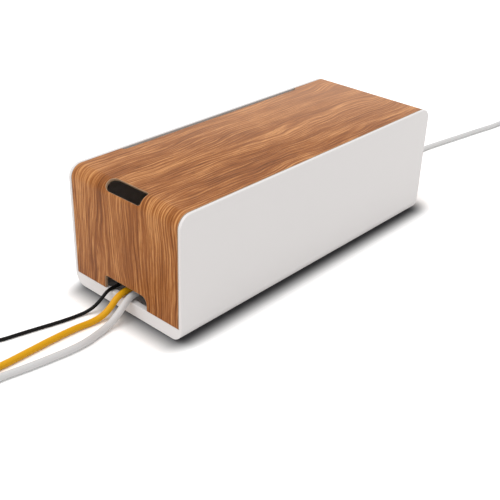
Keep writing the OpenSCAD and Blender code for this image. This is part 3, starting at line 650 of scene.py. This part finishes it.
def tie(cord):
    """A strap round the bundle of turns."""
    angle = math.radians(cord.tie_deg)
    out = Vector((math.cos(angle), math.sin(angle), 0))
    aside = Vector((-math.sin(angle), math.cos(angle), 0))
    up = Vector((0, 0, 1))
    middle = Vector((cord.end / MM + cord.centre[0], cord.centre[1], 0))
    corner_r, loop = tie_loop(cord)
    work = bmesh.new()
    rows = []
    for grow, across in ((0, -0.5), (TIE_T, TIE_TAPER - 0.5), (TIE_T, 0.5 - TIE_TAPER), (0, 0.5)):
        r = corner_r + grow
        row = []
        for out_at, up_at, cosine, sine in loop:
            height = max(up_at + r * sine, TIE_LOWEST)
            place = middle + out * (out_at + r * cosine) + aside * (across * TIE_W) + up * height
            row.append(work.verts.new(place * MM))
        rows.append(row)
    for a, b in zip(rows, rows[1:] + rows[:1]):
        for k in range(len(loop)):
            following = (k + 1) % len(loop)
            work.faces.new((a[k], a[following], b[following], b[k]))
    bmesh.ops.recalc_face_normals(work, faces=work.faces)
    mesh = bpy.data.meshes.new(cord.name + "_tie")
    work.to_mesh(mesh)
    work.free()
    mesh.materials.append(MATERIALS["velcro"])
    for polygon in mesh.polygons:
        polygon.use_smooth = True
    mesh.set_sharp_from_angle(angle=math.radians(TIE_SHARP_DEG))
    piece = link_mesh(cord.name + "_tie", mesh)
    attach(piece, "tray")
    return piece


for cord in CORDS:
    tie(cord)

# ---- Studio ----

SKY_LIGHT = 0.71
FLOOR_HALF = 12
# Paper as it lights the pieces, and as the camera sees it in the contact shadow and beyond it
PAPER = (0.90, 0.90, 0.895)
PAPER_IN_SHADOW = (0.065, 0.065, 0.07)
PAPER_IN_LIGHT = (1.28, 1.28, 1.275)
CONTACT_WIDTH = 28 * MM
CONTACT_DEPTH = 1.4
# The contact shadow's darkest part: along each axis its middle, its half size and how far it spreads
CONTACT_PLACE = (
    ("X", 2.5 * MM, REAR - 9 * MM, 1.55),
    ("Y", -4 * MM, FAR_SIDE - 13 * MM, 1),
)


def seen_directly(tree):
    """1 for what the camera sees, itself or in gloss and glass, and 0 for light that spreads."""
    rays = add(tree, "ShaderNodeLightPath").outputs
    seen = math_node(tree, "ADD", rays["Is Camera Ray"], rays["Is Glossy Ray"])
    return math_node(tree, "ADD", seen, rays["Is Transmission Ray"], clamp=True)


def contact_light(tree):
    """0 close round the box, rising to 1 outside its contact shadow."""
    position = add(tree, "ShaderNodeSeparateXYZ", {0: object_position(tree)}).outputs
    squares = []
    for axis, middle, half, spread in CONTACT_PLACE:
        off_middle = math_node(tree, "ABSOLUTE", math_node(tree, "SUBTRACT", position[axis], middle))
        outside = math_node(tree, "MAXIMUM", math_node(tree, "SUBTRACT", off_middle, half), 0)
        squares.append(math_node(tree, "POWER", math_node(tree, "DIVIDE", outside, spread), 2))
    away = math_node(tree, "SQRT", math_node(tree, "ADD", *squares))
    light = add(tree, "ShaderNodeMapRange", {"Value": away, "From Max": CONTACT_WIDTH},
        interpolation_type="SMOOTHSTEP").outputs[0]
    return math_node(tree, "POWER", light, CONTACT_DEPTH)


def make_floor():
    material, tree, shader = new_material("floor_paper")
    seen = mix(tree, contact_light(tree), PAPER_IN_SHADOW, PAPER_IN_LIGHT)
    coloured(tree, shader, mix(tree, seen_directly(tree), PAPER, seen))
    shader.inputs["Roughness"].default_value = 0.9
    shader.inputs["Specular IOR Level"].default_value = 0.0
    mesh = bpy.data.meshes.new("floor")
    corners = [(x * FLOOR_HALF, y * FLOOR_HALF, 0) for x, y in ((-1, -1), (1, -1), (1, 1), (-1, 1))]
    mesh.from_pydata(corners, [], [(0, 1, 2, 3)])
    mesh.materials.append(material)
    link_mesh("floor", mesh)


def make_world():
    world = bpy.data.worlds.new("studio")
    world.use_nodes = True
    tree = world.node_tree
    background = tree.nodes["Background"]
    background.inputs["Color"].default_value = (1, 1, 1, 1)
    strength = math_node(tree, "MULTIPLY_ADD", seen_directly(tree), 1 - SKY_LIGHT, SKY_LIGHT)
    tree.links.new(strength, background.inputs["Strength"])
    bpy.context.scene.world = world


def sun(name, toward, angle_deg, strength):
    """A soft lamp far off, in the direction toward."""
    data = bpy.data.lights.new(name, "SUN")
    data.angle = math.radians(angle_deg)
    data.energy = strength
    light = bpy.data.objects.new(name, data)
    bpy.context.scene.collection.objects.link(light)
    light.rotation_euler = Vector(toward).to_track_quat("Z", "Y").to_euler()


make_floor()
make_world()
sun("key", toward=(-0.35, 0.15, 1.0), angle_deg=50, strength=1.25)
bpy.context.scene.view_settings.view_transform = "Standard"
